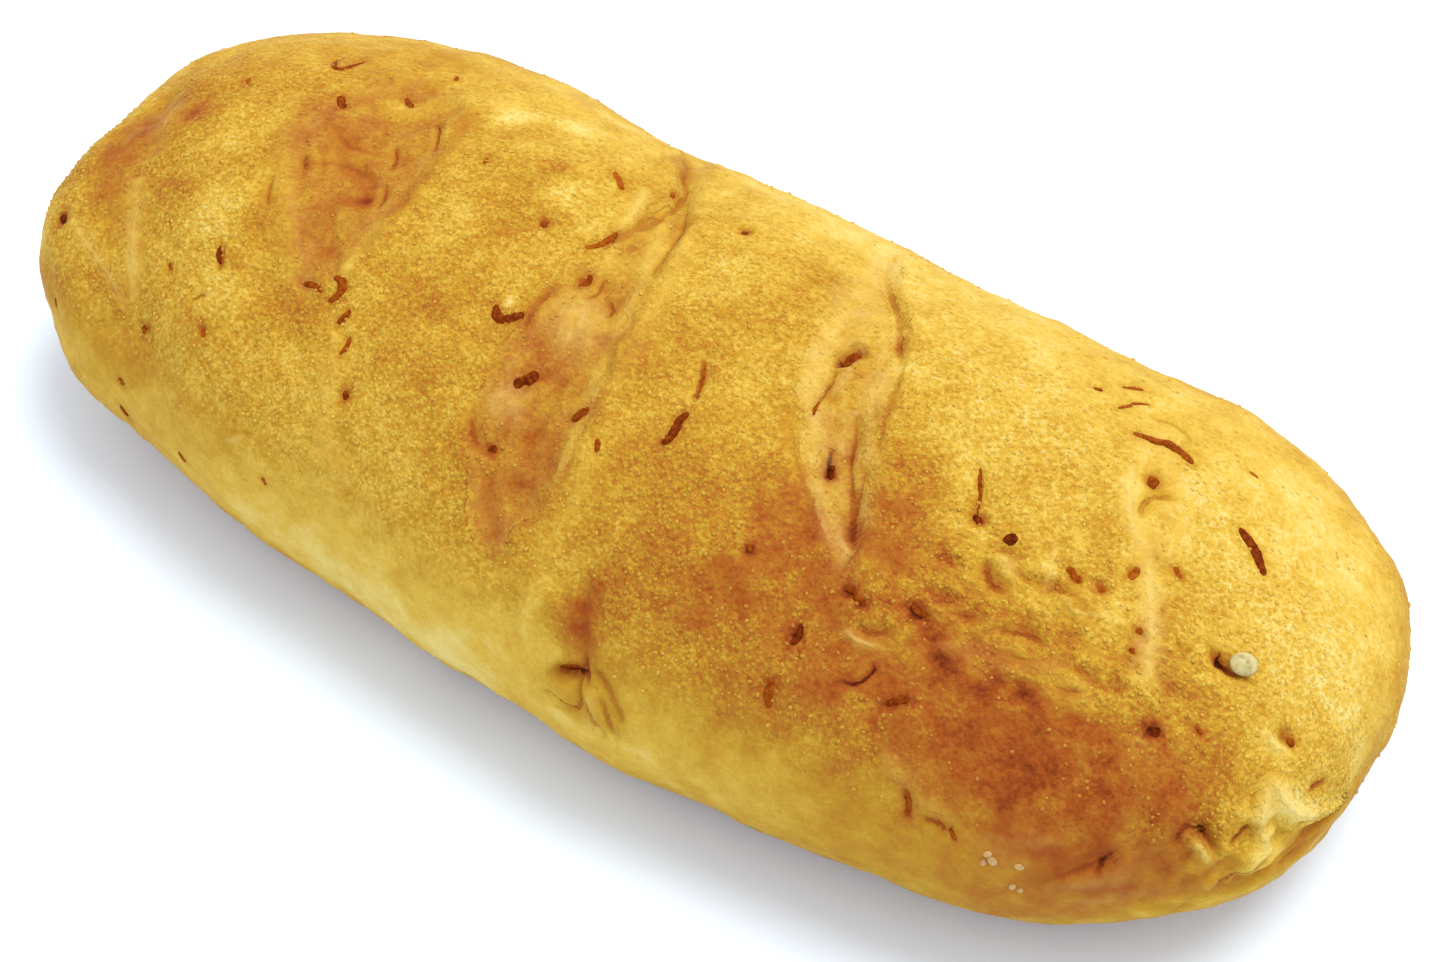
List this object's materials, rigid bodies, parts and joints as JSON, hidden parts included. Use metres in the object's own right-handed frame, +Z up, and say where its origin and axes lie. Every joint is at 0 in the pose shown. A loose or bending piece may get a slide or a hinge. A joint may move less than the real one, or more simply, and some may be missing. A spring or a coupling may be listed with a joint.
{
  "type": "carrot bread loaf",
  "caption": "Long, low oval loaf of golden carrot bread with a flat base, rounded ends and shallow opened slashes across its crust.",
  "frame": {"origin": "on the flat base, under the middle of the loaf's bounding box", "axes": "+Z up, +X along the loaf towards its wider end, +Y across the loaf towards its back"},
  "size_m": [0.28, 0.1236, 0.072],
  "materials": {
    "crust": "dry golden bread crust, matt, dusted with fine meal and baked brown in patches",
    "carrot": "grated carrot baked dark brown in the crust, slightly glossy",
    "seed": "smooth grey-green hulled seed, slightly glossy"
  },
  "bodies": {
    "root": {"loaf": "crust"}
  },
  "joints": []
}
